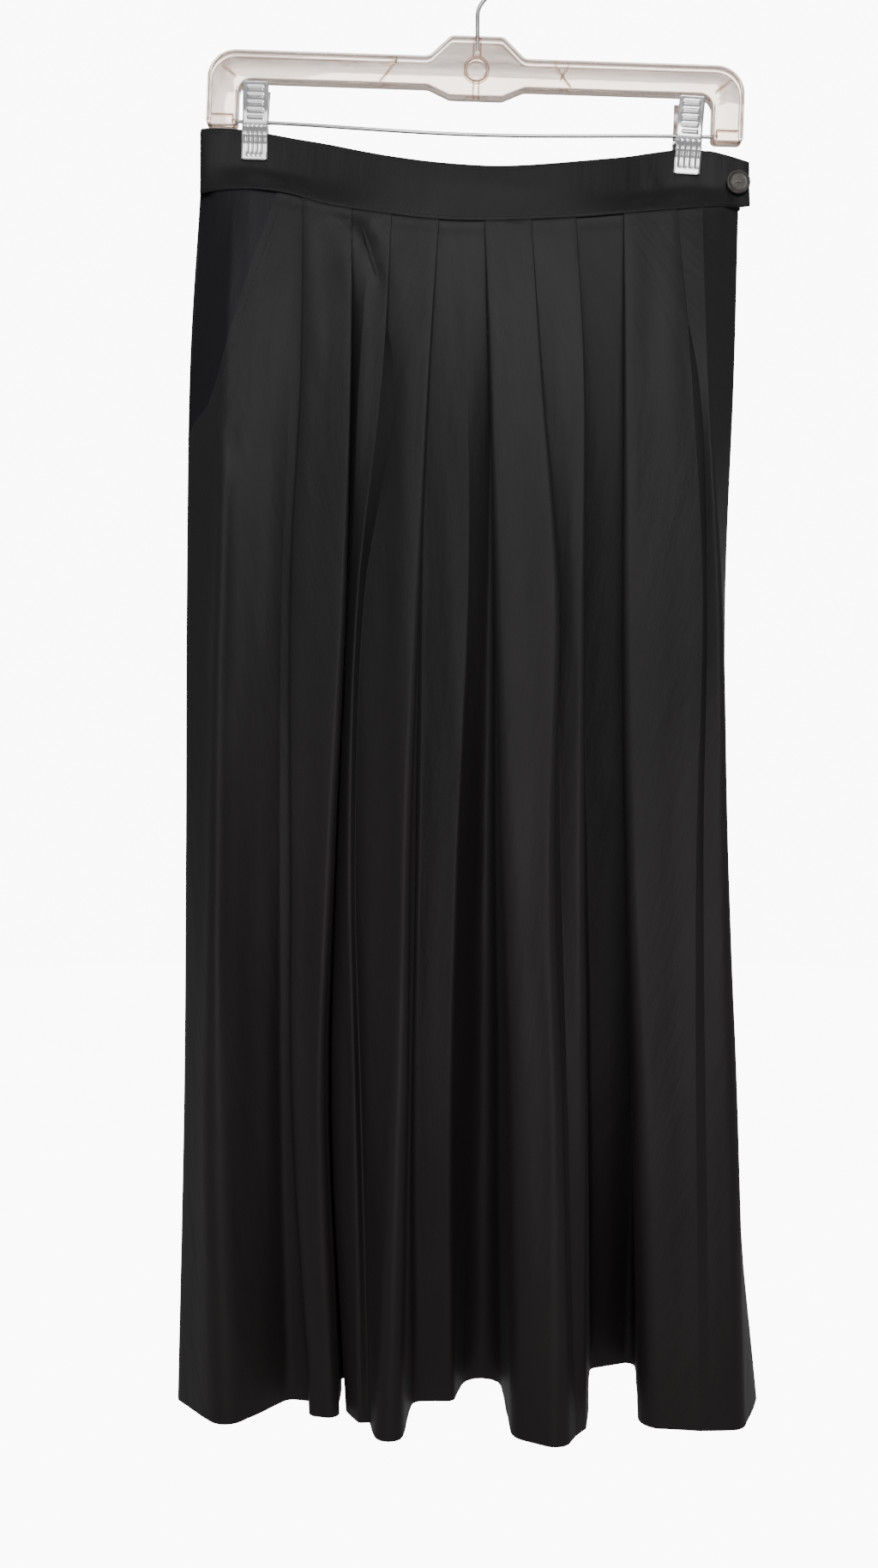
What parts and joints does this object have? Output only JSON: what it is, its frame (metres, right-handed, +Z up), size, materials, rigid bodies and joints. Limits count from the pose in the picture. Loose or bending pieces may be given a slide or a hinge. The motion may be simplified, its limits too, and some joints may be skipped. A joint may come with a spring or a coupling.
{
  "type": "pleated skirt on clip hanger",
  "caption": "Long pleated skirt with a waistband, a slanted pocket and a button tab, held by its waistband in the clips of a clear bar hanger with a wire hook.",
  "frame": {"origin": "the seat of the hook: the top of the wire crook's inside, where it hangs", "axes": "+Z up, +X to the right as seen from the front, +Y away from the front"},
  "size_m": [0.3845, 0.1688, 0.9766],
  "materials": {
    "black_cloth": "soft satin",
    "button_horn": "polished dark brown",
    "clear_plastic": "clear moulded",
    "chrome": "bright plated"
  },
  "bodies": {
    "root": {"skirt_front": "black_cloth", "pocket_facing": "black_cloth", "skirt_back": "black_cloth", "waistband": "black_cloth", "waist_button": "button_horn", "hanger_body": "clear_plastic", "hanger_hook": "chrome", "hanger_rod": "chrome", "clip_left_front": "chrome", "clip_left_rear": "chrome", "clip_right_front": "chrome", "clip_right_rear": "chrome"}
  },
  "joints": []
}
